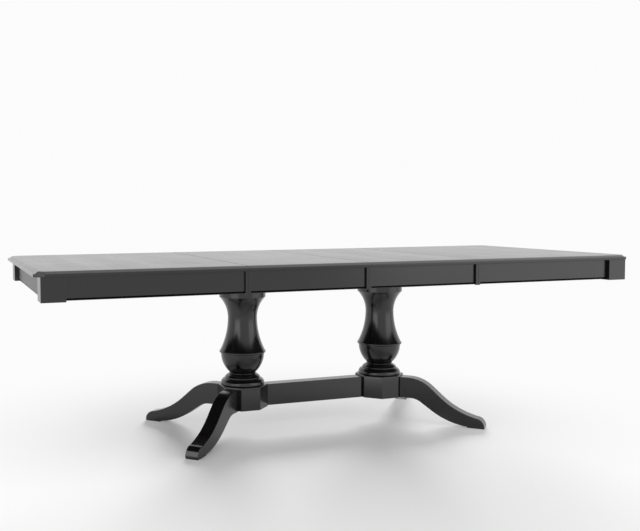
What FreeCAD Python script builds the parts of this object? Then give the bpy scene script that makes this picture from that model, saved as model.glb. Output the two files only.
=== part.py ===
# Double pedestal extension dining table with two drop-in leaves, drawn out.
# X runs along the table, Y across it and Z up. The origin is on the floor, midway between the pedestals.
import FreeCAD
import Part
import Sketcher
import math
import os
import re

# Driving dimensions in millimetres, apart from the counts and the pressure angle
SIZES = {
    # Top
    "top_length": 2572, "top_width": 1067, "table_height": 762, "top_thickness": 20,
    "leaf_width": 504, "seam_gap": 0.5, "corner_clip": 35, "ledge_width": 8, "bevel_width": 10,
    "bevel_height": 8.5, "bevel_round": 14,
    # Aprons, corner posts and the proud blocks at the seams
    "apron_height": 85, "apron_thickness": 20, "rabbet_height": 8, "rabbet_depth": 8, "rabbet_foot": 2,
    "side_overhang": 16, "end_overhang": 22.5, "post_width": 87.5, "post_proud": 15, "post_end_proud": 17.5,
    "post_drop": 3.5, "block_width": 10, "block_proud": 10, "block_drop": 2, "cleat_side": 22,
    # Turned columns, by radius and height
    "pedestal_spacing": 676, "foot_ring_radius": 95, "foot_ring_height": 27, "foot_ring_edge": 3,
    "foot_ring_band": 9, "foot_ring_shoulder": 18, "foot_ring_drop": 4, "upper_ring_radius": 77,
    "upper_ring_height": 19, "upper_ring_edge": 3, "upper_ring_band": 4, "upper_ring_shoulder": 17.5,
    "upper_ring_drop": 30, "neck_ring_radius": 58, "neck_ring_height": 5,
    "bowl_foot_radius": 56, "bowl_radius": 94.5, "bowl_height": 86, "rim_radius": 101, "rim_height": 9,
    "rim_ledge": 2, "waist_radius": 63.5, "waist_share": 0.614, "flange_radius": 101, "flange_height": 33,
    "rod_hole_radius": 8,
    # Octagonal hubs, legs and stretcher
    "hub_bottom": 108.6, "hub_height": 100.4, "hub_apothem": 102, "hub_round": 4,
    "cavity_radius": 52, "cavity_depth": 78.4, "leg_depth": 93.4, "leg_thickness": 57,
    "crest_reach": 199, "bend_reach": 346, "bend_level": 72, "tip_reach": 438.5, "tip_level": 46.1,
    "toe_reach": 479, "toe_level": 41, "arch_reach": 179, "heel_reach": 331, "crest_round": 154,
    "bend_round": 330, "tip_round": 60, "toe_round": 39.5, "arch_round": 80, "heel_round": 324,
    "pad_thickness": 3, "pad_start": 404, "pad_inset": 1.5,
    # Bolts, tie rods, screws and their clearances
    "bolt_radius": 4, "bolt_grip": 60, "bolt_inset": 25, "bolt_head_radius": 6.5, "bolt_head": 5.5,
    "counterbore": 6, "head_clearance": 1.5, "fit_clearance": 0.1, "rod_radius": 6, "nut_width": 19,
    "nut_height": 10, "rod_end": 4, "screw_radius": 2.5, "screw_bite": 30, "screw_head_radius": 5,
    "screw_head": 3, "screw_inset": 40, "runner_bite": 13, "runner_screw_depth": 30,
    # Bearers, slide rails and runners
    "plate_width": 180, "plate_thickness": 22, "bearer_width": 110, "bearer_length": 660,
    "bearer_thickness": 33.7,
    "slide_offset": 270, "slide_depth": 62, "slide_gap": 0.3, "rail_width": 40, "rail_length": 1280,
    "runner_width": 30, "runner_reach": 120, "runner_end": 27, "tongue_depth": 9, "tongue_root": 12,
    "tongue_tip": 18, "tongue_clearance": 0.4, "leaf_rest": 0.3,
    # Equaliser
    "gear_module": 4, "tooth_pairs": 8, "pressure_angle": 20, "gear_width": 12, "backlash": 0.8,
    "pinion_lift": 14.3, "rack_back": 12, "rack_inner": 130, "brace_inset": 22, "brace_width": 40,
    "brace_near": 15, "brace_far": 110, "beam_width": 140, "beam_thickness": 20, "spindle_radius": 8,
    "spindle_clearance": 0.05, "spacer_radius": 14, "spindle_end": 6, "clip_radius": 13,
    "clip_thickness": 2, "guide_width": 18, "guide_length": 120, "guide_clearance": 0.4,
    # Locating pegs between each half and its leaf
    "peg_radius": 5, "peg_seat": 24, "peg_reach": 18, "peg_offset": 330, "peg_rise": 10,
    "peg_clearance": 0.4,
}

# Levels and faces that follow from the driving dimensions
PLACES = {
    "half_length": "top_length / 2",
    "half_width": "top_width / 2",
    "underside": "table_height - top_thickness",
    "lip_level": "table_height - bevel_height",
    "bevel_inset": "ledge_width + bevel_width",
    "seam_edge": "leaf_width + seam_gap / 2",
    "leaf_near": "seam_gap / 2",
    "leaf_far": "leaf_width - seam_gap / 2",
    "leaf_underside": "underside + leaf_rest",
    "post_face": "half_width - side_overhang",
    "post_end": "half_length - end_overhang",
    "apron_bottom": "underside - apron_height",
    "post_bottom": "apron_bottom - post_drop",
    "apron_face": "post_face - post_proud",
    "apron_end": "post_end - post_end_proud",
    "apron_inner": "apron_face - apron_thickness",
    "block_face": "apron_face + block_proud",
    "block_bottom": "apron_bottom - block_drop",
    "column_offset": "pedestal_spacing / 2",
    "hub_top": "hub_bottom + hub_height",
    "hub_corner": "hub_apothem * tan(22.5)",
    "leg_top": "hub_bottom + leg_depth",
    "cavity_top": "hub_bottom + cavity_depth",
    "upper_ring_level": "hub_top + foot_ring_height",
    "neck_ring_level": "upper_ring_level + upper_ring_height",
    "bowl_level": "neck_ring_level + neck_ring_height",
    "rim_level": "bowl_level + bowl_height",
    "rim_edge": "rim_level + rim_height",
    "rail_top": "underside - slide_gap",
    "rail_bottom": "rail_top - slide_depth",
    "bearer_bottom": "rail_bottom - bearer_thickness",
    "column_top": "bearer_bottom - plate_thickness",
    "flange_level": "column_top - flange_height",
    "waist_level": "rim_edge + waist_share * (flange_level - rim_edge)",
    "runner_bottom": "rail_bottom + slide_gap",
    "slide_middle": "(rail_bottom + rail_top) / 2",
    "rail_half": "rail_width / 2",
    "runner_face": "rail_half + tongue_clearance",
    "head_seat": "cavity_radius + counterbore",
    "bolt_end": "hub_apothem + bolt_grip",
    "pinion_teeth": "2 * round(tooth_pairs)",
    "pitch_radius": "gear_module * pinion_teeth / 2",
    "tooth_foot": "1.25 * gear_module",
    "rack_root": "pitch_radius + tooth_foot",
    "rack_edge": "rack_root + rack_back",
    "pinion_level": "rail_bottom + pinion_lift",
    "rack_top": "pinion_level + gear_width",
    "brace_start": "seam_edge + brace_inset",
    "rack_end": "brace_start + brace_width",
    "clip_level": "rack_top + spindle_clearance",
    "guide_face": "rack_edge + guide_clearance",
    "peg_level": "underside + peg_rise",
}

HALF_TURN = 180
WORD = re.compile(r"[a-z_]+")
UP = FreeCAD.Vector(0, 0, 1)
ALONG = FreeCAD.Vector(1, 0, 0)

doc = FreeCAD.newDocument("pedestal_table")
sheet = doc.addObject("Spreadsheet::Sheet", "sizes")
working = doc.addObject("Spreadsheet::Sheet", "working")
formulas = {name: str(value) for name, value in SIZES.items()}
formulas.update({name: "=" + formula for name, formula in PLACES.items()})
for row, (name, text) in enumerate(formulas.items(), start=1):
    sheet.set(f"A{row}", name)
    sheet.set(f"B{row}", text)
    sheet.setAlias(f"B{row}", name)
doc.recompute()

pieces = {}


def linked(formula):
    # A formula with its names pointed at the sheet of sizes
    def cell(match):
        word = match.group()
        return "sizes." + word if word in formulas else word
    return WORD.sub(cell, formula)


def number(formula):
    # The present value of a formula, worked out on a sheet of its own
    working.set("A1", "=" + linked(formula))
    working.recompute()
    return float(working.get("A1"))


def bind(item, prop, formula):
    item.setExpression(prop, linked(formula))


def place(item, x="0", y="0", z="0", turned=False, angle=0):
    # Set an item down; a turned one goes half a turn about the table's middle
    sign = "-1" if turned else "1"
    item.Placement = FreeCAD.Placement(FreeCAD.Vector(), FreeCAD.Rotation(UP, angle + HALF_TURN * turned))
    bind(item, "Placement.Base.x", f"{sign} * ({x})")
    bind(item, "Placement.Base.y", f"{sign} * ({y})")
    bind(item, "Placement.Base.z", z)


def keep(name, item):
    # Count an item as a finished piece under its own name
    item.Label = name
    pieces[name] = item
    return item


def box(name, x, y, z, turned=False):
    # A block between pairs of formulas along X, Y and Z
    block = doc.addObject("Part::Box", name)
    for prop, (low, high) in zip(("Length", "Width", "Height"), (x, y, z)):
        bind(block, prop, f"({high}) - ({low})")
    place(block, x[0], y[0], z[0], turned)
    return block


def rod(name, radius, low, high, axis=UP, x="0", y="0", z="0"):
    # A round bar from low to high along Z, or along X at a height z
    bar = doc.addObject("Part::Cylinder", name)
    bind(bar, "Radius", radius)
    bind(bar, "Height", f"({high}) - ({low})")
    bar.Placement = FreeCAD.Placement(FreeCAD.Vector(), FreeCAD.Rotation(UP, axis))
    start = {"x": x, "y": y, "z": z}
    start["z" if axis == UP else "x"] = low
    for letter, formula in start.items():
        bind(bar, f"Placement.Base.{letter}", formula)
    return bar


def group(name, items):
    bunch = doc.addObject("Part::Compound", name)
    bunch.Links = items
    return bunch


def fuse(name, items):
    whole = doc.addObject("Part::MultiFuse", name)
    whole.Shapes = items
    whole.Refine = True
    return whole


def cut(name, base, tools):
    drilled = doc.addObject("Part::Cut", name)
    drilled.Base = base
    drilled.Tool = fuse(name + "_tools", tools) if len(tools) > 1 else tools[0]
    return drilled


def arc_centre(start, end, letter, level):
    # The centre that lies on x or y = level and is as far from both ends
    gap_x = end[0] - start[0]
    gap_y = end[1] - start[1]
    middle = ((start[0] + end[0]) / 2, (start[1] + end[1]) / 2)
    if letter == "X":
        return level, middle[1] - (level - middle[0]) * gap_x / gap_y
    return middle[0] - (level - middle[1]) * gap_y / gap_x, level


def draw(body, plane, steps, lift="0"):
    # A closed outline: each step is a point, and may hold the arc that leaves it as
    # (centre's letter, centre's place, direction). Every point is tied to the sheet.
    sketch = body.newObject("Sketcher::SketchObject", body.Name + "_outline")
    support = [item for item in body.Origin.OriginFeatures if item.Role == plane][0]
    sketch.AttachmentSupport = (support, "")
    sketch.MapMode = "FlatFace"
    bind(sketch, "AttachmentOffset.Base.z", lift)
    points = [(number(step[0]), number(step[1])) for step in steps]
    ends = []
    for index, step in enumerate(steps):
        start = points[index]
        end = points[(index + 1) % len(points)]
        if len(step) == 2:
            sketch.addGeometry(Part.LineSegment(FreeCAD.Vector(*start), FreeCAD.Vector(*end)))
            ends.append((1, 2))
            continue
        letter, level, direction = step[2]
        centre = arc_centre(start, end, letter, number(level))
        ends.append((1, 2) if direction == "left" else (2, 1))
        first, last = (start, end) if direction == "left" else (end, start)
        angles = [math.atan2(spot[1] - centre[1], spot[0] - centre[0]) for spot in (first, last)]
        circle = Part.Circle(FreeCAD.Vector(*centre), UP, math.dist(centre, start))
        sketch.addGeometry(Part.ArcOfCircle(circle, *angles))

    def tie(letter, index, spot, formula):
        value = number(formula)
        order = sketch.addConstraint(Sketcher.Constraint("Distance" + letter, -1, 1, index, spot, value))
        bind(sketch, f"Constraints[{order}]", formula)

    for index, step in enumerate(steps):
        after = (index + 1) % len(steps)
        sketch.addConstraint(Sketcher.Constraint("Coincident", index, ends[index][1], after, ends[after][0]))
    for index, step in enumerate(steps):
        tie("X", index, ends[index][0], step[0])
        tie("Y", index, ends[index][0], step[1])
        if len(step) == 3:
            tie(step[2][0], index, 3, step[2][1])
    return sketch


def prism(name, plane, outline, depth, both_ways=False):
    # A straight bar of the given outline
    body = doc.addObject("PartDesign::Body", name)
    pad = body.newObject("PartDesign::Pad", name + "_pad")
    pad.Profile = draw(body, plane, outline)
    pad.SideType = "Symmetric" if both_ways else "One side"
    bind(pad, "Length", depth)
    body.Tip = pad
    return body


def round_edges(body, radius, chosen):
    # Round the edges of the body's last feature that the test picks
    doc.recompute()
    base = body.Tip
    names = [f"Edge{count}" for count, edge in enumerate(base.Shape.Edges, start=1) if chosen(edge)]
    fillet = body.newObject("PartDesign::Fillet", body.Name + "_round")
    fillet.Base = (base, names)
    bind(fillet, "Radius", radius)
    body.Tip = fillet


def sides(turned):
    # The front and back of a half or a leaf, each with the sign of its Y before any turn
    return (("back", "-1"), ("front", "1")) if turned else (("front", "-1"), ("back", "1"))


# Turned columns: a flange, a waisted vase, a rim, a bowl and three rings on the hub
def column(name, turned):
    body = doc.addObject("PartDesign::Body", name)

    def ring(name, level, top):
        # A rounded lower edge, a plain band and a shoulder; a larger drop makes its arc flatter
        radius, edge = f"{name}_radius", f"{name}_edge"
        band_top = f"{level} + {name}_band"
        return [
            (f"{radius} - {edge}", level, ("Y", f"{level} + {edge}", "left")),
            (radius, f"{level} + {edge}"),
            (radius, band_top, ("Y", f"{band_top} - {name}_drop", "left")),
            (f"{radius} - {name}_shoulder", top),
        ]

    outline = [("rod_hole_radius", "hub_top")]
    outline += ring("foot_ring", "hub_top", "upper_ring_level")
    outline += ring("upper_ring", "upper_ring_level", "neck_ring_level")
    bead = "neck_ring_radius - neck_ring_height / 2"
    outline += [
        (bead, "neck_ring_level", ("X", bead, "left")),
        (bead, "bowl_level"),
        ("bowl_foot_radius", "bowl_level", ("Y", "rim_level", "left")),
        ("bowl_radius", "rim_level"),
        ("rim_radius", "rim_level + rim_height / 3"),
        ("rim_radius", "rim_edge"),
        ("rim_radius - rim_ledge", "rim_edge", ("Y", "waist_level", "right")),
        ("waist_radius", "waist_level", ("Y", "waist_level", "right")),
        ("flange_radius", "flange_level"),
        ("flange_radius", "column_top"),
        ("rod_hole_radius", "column_top"),
    ]
    turning = body.newObject("PartDesign::Revolution", name + "_turning")
    turning.Profile = draw(body, "XZ_Plane", outline)
    turning.ReferenceAxis = (turning.Profile[0], ["V_Axis"])
    turning.Angle = 2 * HALF_TURN
    body.Tip = turning
    place(body, "column_offset", turned=turned)
    keep(name, body)


# Heights of the two bolts at each leg and at each end of the stretcher
BOLT_LEVELS = ("hub_bottom + bolt_inset", "leg_top - bolt_inset")
# A right-hand hub's bolts point at its two legs and, last, at the stretcher
LEG_ANGLE = 45
HUB_ANGLES = (-LEG_ANGLE, LEG_ANGLE, HALF_TURN)


def turn(item, angle):
    item.Placement = FreeCAD.Placement(FreeCAD.Vector(), FreeCAD.Rotation(UP, angle))
    return item


# Octagonal hubs with a cavity below, where the bolts are tightened
def hub(name, turned):
    corner = [("hub_apothem", "hub_corner"), ("hub_corner", "hub_apothem")]
    octagon = []
    for across, along in (("1", "1"), ("-1", "1"), ("-1", "-1"), ("1", "-1")):
        pair = [(f"{across} * {x}", f"{along} * {y}") for x, y in corner]
        octagon += pair if across == along else pair[::-1]
    block = prism(name + "_block", "XY_Plane", octagon, "hub_height")
    upper = number("hub_height")
    round_edges(block, "hub_round", lambda edge: edge.BoundBox.ZMin > upper - 0.01)
    bind(block, "Placement.Base.z", "hub_bottom")
    tools = [
        rod(name + "_cavity", "cavity_radius", "hub_bottom", "cavity_top"),
        rod(name + "_rod_hole", "rod_hole_radius", "hub_bottom", "hub_top"),
    ]
    for angle in HUB_ANGLES:
        for level in BOLT_LEVELS:
            sink = rod(name + "_sink", "bolt_head_radius + head_clearance", "0", "head_seat", ALONG, z=level)
            hole = rod(name + "_hole", "bolt_radius + fit_clearance", "0", "hub_apothem", ALONG, z=level)
            tools.append(turn(fuse(name + "_drill", [sink, hole]), angle))
    drilled = cut(name, block, tools)
    place(drilled, "column_offset", turned=turned)
    keep(name, drilled)


# S-curved legs: straight runs along X, rounded into each other, then turned to stand on a hub's face
def leg(name, turned, angle):
    outline = [
        ("hub_apothem", "hub_bottom"),
        ("arch_reach", "hub_bottom"),
        ("heel_reach", "pad_thickness"),
        ("toe_reach", "pad_thickness"),
        ("toe_reach", "toe_level"),
        ("tip_reach", "tip_level"),
        ("bend_reach", "bend_level"),
        ("crest_reach", "leg_top"),
        ("hub_apothem", "leg_top"),
    ]
    blank = prism(name + "_blank", "XZ_Plane", outline, "leg_thickness", both_ways=True)
    rounds = (("arch_reach", "hub_bottom", "arch_round"), ("heel_reach", "pad_thickness", "heel_round"),
              ("toe_reach", "toe_level", "toe_round"), ("tip_reach", "tip_level", "tip_round"),
              ("bend_reach", "bend_level", "bend_round"), ("crest_reach", "leg_top", "crest_round"))
    for reach, level, radius in rounds:
        spot = FreeCAD.Vector(number(reach), 0, number(level))
        round_edges(blank, radius, lambda edge: edge.CenterOfMass.distanceToPoint(spot) < 0.01)
    holes = [rod(name + "_hole", "bolt_radius + fit_clearance", "hub_apothem", "bolt_end + fit_clearance",
                 ALONG, z=level) for level in BOLT_LEVELS]
    drilled = cut(name, blank, holes)
    place(drilled, "column_offset", turned=turned, angle=angle)
    keep(name, drilled)


def stretcher():
    reach = "column_offset - hub_apothem"
    bar = box("stretcher_bar", (f"-({reach})", reach), ("-leg_thickness / 2", "leg_thickness / 2"),
              ("hub_bottom", "leg_top"))
    holes = []
    for level in BOLT_LEVELS:
        far = "column_offset - bolt_end - fit_clearance"
        holes.append(rod("stretcher_hole", "bolt_radius + fit_clearance", far, reach, ALONG, z=level))
        holes.append(rod("stretcher_hole", "bolt_radius + fit_clearance", f"-({reach})", f"-({far})", ALONG,
                         z=level))
    keep("stretcher", cut("stretcher", bar, holes))


def base_bolts():
    bolts = []
    for turned in (False, True):
        for angle in HUB_ANGLES:
            for level in BOLT_LEVELS:
                low = "head_seat - bolt_head"
                head = rod("bolt_head", "bolt_head_radius", low, "head_seat", ALONG, z=level)
                shank = rod("bolt_shank", "bolt_radius", low, "bolt_end", ALONG, z=level)
                bolt = fuse("bolt", [head, shank])
                place(bolt, "column_offset", turned=turned, angle=angle)
                bolts.append(bolt)
    keep("base_bolts", group("base_bolts", bolts))


def foot_pads():
    pads = []
    for turned in (False, True):
        for angle in (-LEG_ANGLE, LEG_ANGLE):
            half = "leg_thickness / 2 - pad_inset"
            block = box("pad_block", ("pad_start", "toe_reach - pad_inset"), (f"-({half})", half),
                        ("0", "pad_thickness"))
            pad = group("pad", [block])
            place(pad, "column_offset", turned=turned, angle=angle)
            pads.append(pad)
    keep("foot_pads", group("foot_pads", pads))


# A tie rod runs up each column from the hub's cavity to the top of its bearer
def tie_rods():
    rods = []
    nuts = []
    for side in ("1", "-1"):
        middle = f"{side} * column_offset"
        rods.append(rod("tie_rod", "rod_radius", "cavity_top - nut_height - rod_end",
                        "rail_bottom + nut_height + rod_end", x=middle))
        for low in ("cavity_top - nut_height", "rail_bottom"):
            nuts.append(nut(middle, low))
    keep("tie_rods", group("tie_rods", rods))
    keep("tie_rod_nuts", group("tie_rod_nuts", nuts))


def nut(x, low):
    flat = "nut_width / 2"
    point = "nut_width / 2 / cos(30)"
    hexagon = [(point, "0"), (f"{point} / 2", flat), (f"-{point} / 2", flat), (f"-{point}", "0"),
               (f"-{point} / 2", f"-{flat}"), (f"{point} / 2", f"-{flat}")]
    blank = prism("nut_blank", "XY_Plane", hexagon, "nut_height")
    hole = rod("nut_hole", "rod_radius + fit_clearance", "0", "nut_height")
    tapped = cut("nut", blank, [hole])
    place(tapped, x, z=low)
    return tapped


def column_plates():
    plates = []
    for side in ("1", "-1"):
        middle = f"{side} * column_offset"
        half = "plate_width / 2"
        block = box("plate_block", (f"{middle} - {half}", f"{middle} + {half}"), (f"-{half}", half),
                    ("column_top", "bearer_bottom"))
        hole = rod("plate_hole", "rod_hole_radius", "column_top", "bearer_bottom", x=middle)
        plates.append(cut("plate", block, [hole]))
    keep("column_plates", group("column_plates", plates))


# Each rail is held by two screws from every bearer and by one from the gear beam
RAIL_SCREW_SPOTS = [(f"{side} * column_offset + {step} * bearer_width / 4", "bearer_bottom")
                    for side in ("1", "-1") for step in ("1", "-1")]
RAIL_SCREW_SPOTS.append(("0", "rail_bottom - beam_thickness"))
RAIL_SIDES = ("-1", "1")


def screw_holes(name, x, low, high):
    # Pilot holes in both rails' lines
    return [rod(name, "screw_radius + fit_clearance", low, high, x=x, y=f"{side} * slide_offset")
            for side in RAIL_SIDES]


def bearer(name, side):
    middle = f"{side} * column_offset"
    board = box(name + "_board", (f"{middle} - bearer_width / 2", f"{middle} + bearer_width / 2"),
                ("-bearer_length / 2", "bearer_length / 2"), ("bearer_bottom", "rail_bottom"))
    tools = [rod(name + "_rod_hole", "rod_hole_radius", "bearer_bottom", "rail_bottom", x=middle)]
    for step in ("1", "-1"):
        tools += screw_holes(name + "_hole", f"{middle} + {step} * bearer_width / 4", "bearer_bottom",
                             "rail_bottom")
    keep(name, cut(name, board, tools))


def rail_screws():
    screws = []
    for x, low in RAIL_SCREW_SPOTS:
        for side in RAIL_SIDES:
            y = f"{side} * slide_offset"
            head = rod("screw_head", "screw_head_radius", f"{low} - screw_head", low, x=x, y=y)
            shank = rod("screw_shank", "screw_radius", f"{low} - screw_head", "rail_bottom + screw_bite",
                        x=x, y=y)
            screws.append(fuse("rail_screw", [head, shank]))
    keep("rail_screws", group("rail_screws", screws))


def tongue(side, face, out, gap):
    # Half of a dovetail on one side of a rail, upwards; gap widens it into a runner's groove
    root = f"tongue_root / 2 + {gap}"
    tip = f"tongue_tip / 2 + {gap}"
    reach = f"{face} + {side} * ({out})"
    return [(face, f"slide_middle - ({root})"), (reach, f"slide_middle - ({tip})"),
            (reach, f"slide_middle + ({tip})"), (face, f"slide_middle + ({root})")]


# Fixed rails with a dovetail tongue on each side
def slide_rail(name, side):
    middle = f"{side} * slide_offset"
    right = f"{middle} + rail_half"
    left = f"{middle} - rail_half"
    outline = [(left, "rail_bottom"), (right, "rail_bottom")]
    outline += tongue("1", right, "tongue_depth", "0")
    outline += [(right, "rail_top"), (left, "rail_top")]
    outline += tongue("-1", left, "tongue_depth", "0")[::-1]
    bar = prism(name + "_bar", "YZ_Plane", outline, "rail_length", both_ways=True)
    holes = []
    for x, low in RAIL_SCREW_SPOTS:
        holes.append(rod(name + "_hole", "screw_radius + fit_clearance", "rail_bottom",
                         "rail_bottom + screw_bite + fit_clearance", x=x, y=middle))
    keep(name, cut(name, bar, holes))


# A half's two runners: the one at the front runs inside its rail, the one at the back outside
RUNNER_SCREWS = ("seam_edge + screw_inset", "apron_end - apron_thickness - runner_end - screw_inset")
RUNNER_MIDDLES = [f"{side} * slide_offset + runner_face + runner_width / 2" for side in RAIL_SIDES]


def runners(name, turned):
    bars = []
    for side, middle in zip(RAIL_SIDES, RUNNER_MIDDLES):
        near = f"{side} * slide_offset + runner_face"
        far = f"{near} + runner_width"
        outline = [(near, "runner_bottom")]
        outline += tongue("1", near, "tongue_depth", "tongue_clearance")
        outline += [(near, "underside"), (far, "underside"), (far, "runner_bottom")]
        bar = prism(name + "_bar", "YZ_Plane", outline[::-1],
                    "apron_end - apron_thickness - runner_end - runner_reach")
        bind(bar, "Placement.Base.x", "runner_reach")
        holes = []
        for x in RUNNER_SCREWS:
            holes.append(rod(name + "_hole", "screw_radius + fit_clearance", "runner_bottom", "underside",
                             x=x, y=middle))
            holes.append(rod(name + "_sink", "screw_head_radius + fit_clearance", "runner_bottom",
                             "underside - runner_screw_depth", x=x, y=middle))
        bars.append(cut(name + "_drilled", bar, holes))
    both = group(name, bars)
    place(both, turned=turned)
    keep(name, both)


def runner_screws(name, turned):
    screws = []
    for middle in RUNNER_MIDDLES:
        for x in RUNNER_SCREWS:
            low = "underside - runner_screw_depth - screw_head"
            head = rod("screw_head", "screw_head_radius", low, f"{low} + screw_head", x=x, y=middle)
            shank = rod("screw_shank", "screw_radius", low, "underside + runner_bite", x=x, y=middle)
            screws.append(fuse("runner_screw", [head, shank]))
    bunch = group(name, screws)
    place(bunch, turned=turned)
    keep(name, bunch)


# Equaliser: a beam under the rails carries a spindle, and its pinion drives a rack from each half
def gear_beam():
    half = "(slide_offset + rail_half)"
    board = box("gear_beam_board", ("-beam_width / 2", "beam_width / 2"), (f"-{half}", half),
                ("rail_bottom - beam_thickness", "rail_bottom"))
    holes = screw_holes("gear_beam_hole", "0", "rail_bottom - beam_thickness", "rail_bottom")
    keep("gear_beam", cut("gear_beam", board, holes))


def pinion_axle():
    spacer = rod("axle_spacer", "spacer_radius", "rail_bottom", "pinion_level - spindle_clearance")
    spindle = rod("axle_spindle", "spindle_radius - spindle_clearance", "rail_bottom",
                  "rack_top + spindle_end")
    keep("pinion_axle", fuse("pinion_axle", [spacer, spindle]))
    disc = rod("clip_disc", "clip_radius", "clip_level", "clip_level + clip_thickness")
    hole = rod("clip_hole", "spindle_radius", "clip_level", "clip_level + clip_thickness")
    keep("pinion_clip", cut("pinion_clip", disc, [hole]))


def rack_guides():
    guides = []
    for turned in (False, True):
        guides.append(box("guide", ("-guide_length / 2", "guide_length / 2"),
                          ("-(guide_face + guide_width)", "-guide_face"), ("rail_bottom", "rack_top"),
                          turned))
    keep("rack_guides", group("rack_guides", guides))


def involute(radius, base_radius):
    # Angle by which the involute has turned at a radius
    slope = math.acos(min(1, base_radius / radius))
    return math.tan(slope) - slope


FLANK_STEPS = 4


def pinion():
    # One tooth points at each rack
    teeth = int(number("pinion_teeth"))
    module = number("gear_module")
    pitch = number("pitch_radius")
    tip = pitch + module
    root = pitch - number("tooth_foot")
    base = pitch * math.cos(math.radians(number("pressure_angle")))
    half_tooth = math.pi / 2 / teeth - number("backlash") / 4 / pitch + involute(pitch, base)
    start = max(base, root)
    radii = [start + (tip - start) * share / FLANK_STEPS for share in range(FLANK_STEPS + 1)]

    def spot(radius, angle):
        return FreeCAD.Vector(radius * math.cos(angle), radius * math.sin(angle), 0)

    edges = []
    for tooth in range(teeth):
        middle = math.pi / 2 + tooth * 2 * math.pi / teeth
        rising = [spot(radius, middle - half_tooth + involute(radius, base)) for radius in radii]
        falling = [spot(radius, middle + half_tooth - involute(radius, base)) for radius in radii[::-1]]
        next_side = middle + 2 * math.pi / teeth - half_tooth
        foot = spot(root, middle - half_tooth)
        heel = spot(root, middle + half_tooth)
        edges.append(Part.makeLine(foot, rising[0]))
        for flank in (rising, falling):
            curve = Part.BSplineCurve()
            curve.interpolate(flank)
            edges.append(curve.toShape())
        edges.insert(-1, Part.Arc(rising[-1], spot(tip, middle), falling[0]).toShape())
        edges.append(Part.makeLine(falling[-1], heel))
        valley = (middle + half_tooth + next_side) / 2
        edges.append(Part.Arc(heel, spot(root, valley), spot(root, next_side)).toShape())
    blank = Part.Face(Part.Wire(edges)).extrude(UP * number("gear_width"))
    hole = Part.makeCylinder(number("spindle_radius"), number("gear_width"))
    gear = doc.addObject("Part::Feature", "pinion")
    gear.Shape = blank.cut(hole)
    place(gear, z="pinion_level")
    keep("pinion", gear)


def rack(name, turned):
    # Teeth face +Y; a tooth space lies on X = 0, in line with a tooth of the pinion
    module = number("gear_module")
    pitch_line = number("pitch_radius")
    step = math.pi * module
    slope = math.tan(math.radians(number("pressure_angle")))
    tip_half = step / 4 - module * slope - number("backlash") / 4
    root_half = step / 4 + number("tooth_foot") * slope - number("backlash") / 4
    low = -number("rack_inner")
    high = number("rack_end")
    first = math.ceil((low + root_half) / step - 0.5)
    last = math.floor((number("brace_start") - root_half) / step - 0.5)
    back = -number("rack_edge")
    root = -number("rack_root")
    tip = -(pitch_line - module)
    points = [(low, back), (low, root)]
    for tooth in range(first, last + 1):
        middle = (tooth + 0.5) * step
        points += [(middle - root_half, root), (middle - tip_half, tip), (middle + tip_half, tip),
                   (middle + root_half, root)]
    points += [(high, root), (high, back), (low, back)]
    wire = Part.makePolygon([FreeCAD.Vector(x, y, 0) for x, y in points])
    bar = doc.addObject("Part::Feature", name)
    bar.Shape = Part.Face(wire).extrude(UP * number("gear_width"))
    place(bar, z="pinion_level", turned=turned)
    keep(name, bar)


def rack_brace(name, turned):
    keep(name, box(name, ("brace_start", "rack_end"), ("-brace_far", "-brace_near"),
                   ("rack_top", "underside"), turned))


# A half of the top: a lip with clipped corners, a ledge on it, and a rounded bevel up to the flat
def half_panel(name, turned):
    body = doc.addObject("PartDesign::Body", name + "_slab")

    def outline(inset, level):
        clip = f"(corner_clip + {inset} * tan(22.5))"
        side = f"(half_width - {inset})"
        end = f"(half_length - {inset})"
        points = [("seam_edge", f"-{side}"), (f"half_length - {clip}", f"-{side}"),
                  (end, f"-(half_width - {clip})"), (end, f"half_width - {clip}"),
                  (f"half_length - {clip}", side), ("seam_edge", side)]
        return draw(body, "XY_Plane", points, level)

    lip = body.newObject("PartDesign::Pad", name + "_lip")
    lip.Profile = outline("0", "underside")
    bind(lip, "Length", "lip_level - underside")
    bevel = body.newObject("PartDesign::AdditiveLoft", name + "_bevel")
    bevel.Profile = outline("ledge_width", "lip_level")
    bevel.Sections = [outline("bevel_inset", "table_height")]
    bevel.Ruled = True
    body.Tip = bevel
    top = number("table_height")
    seam = number("seam_edge")
    round_edges(body, "bevel_round",
                lambda edge: edge.BoundBox.ZMin > top - 0.01 and edge.BoundBox.XMax > seam + 0.01)
    tools = []
    for side in RAIL_SIDES:
        tools.append(rod(name + "_peg_hole", "peg_radius + fit_clearance", "seam_edge",
                         "seam_edge + peg_seat", ALONG, y=f"{side} * peg_offset", z="peg_level"))
    for middle in RUNNER_MIDDLES:
        for x in RUNNER_SCREWS:
            tools.append(rod(name + "_hole", "screw_radius + fit_clearance", "underside",
                             "underside + runner_bite + fit_clearance", x=x, y=middle))
    drilled = cut(name, body, tools)
    place(drilled, turned=turned)
    keep(name, drilled)


def locating_pegs(name, turned):
    pegs = [rod("peg", "peg_radius", "seam_edge - peg_reach", "seam_edge + peg_seat", ALONG,
                y=f"{side} * peg_offset", z="peg_level") for side in RAIL_SIDES]
    both = group(name, pegs)
    place(both, turned=turned)
    keep(name, both)


def apron_section(sign, top):
    # An apron's end view: a board with an undercut strip along its lower outer edge
    face = f"{sign} * apron_face"
    inner = f"{sign} * apron_inner"
    back = f"{sign} * (apron_face - rabbet_depth)"
    foot = f"{sign} * (apron_face - rabbet_foot)"
    step = "apron_bottom + rabbet_height"
    return [(face, top), (face, step), (back, step), (foot, "apron_bottom"), (inner, "apron_bottom"),
            (inner, top)]


def side_apron(name, sign, start, end, top, turned):
    board = prism(name, "YZ_Plane", apron_section(sign, top), f"{end} - ({start})")
    place(board, start, turned=turned)
    keep(name, board)


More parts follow.
